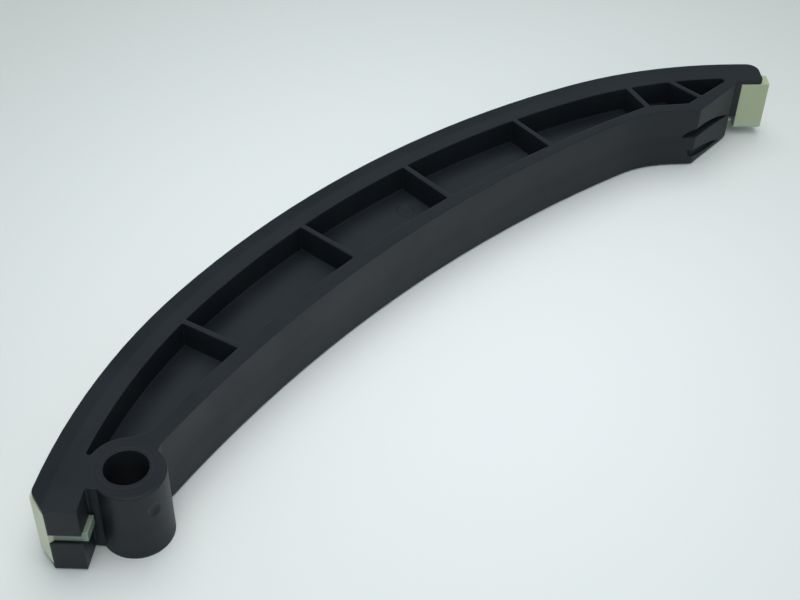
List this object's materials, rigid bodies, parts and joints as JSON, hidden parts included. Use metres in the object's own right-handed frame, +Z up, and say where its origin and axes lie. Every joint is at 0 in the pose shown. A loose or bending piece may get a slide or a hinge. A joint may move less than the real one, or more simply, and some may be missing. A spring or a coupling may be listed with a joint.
{
  "type": "timing chain tensioner arm",
  "caption": "Curved timing chain tensioner arm with a pivot bore, a ribbed plastic body and a clipped-on sliding shoe along its chain side.",
  "frame": {"origin": "pivot bore axis, at the level of the arm's lower face; the boss stands 0.5 mm proud below it", "axes": "+Z up along the pivot bore, +X from the pivot towards the free end, +Y towards the chain side that carries the shoe"},
  "size_m": [0.2546, 0.0564, 0.0197],
  "materials": {
    "arm_plastic": "satin",
    "shoe_plastic": "satin"
  },
  "bodies": {
    "root": {"arm_body": "arm_plastic", "sliding_shoe": "shoe_plastic"}
  },
  "joints": []
}
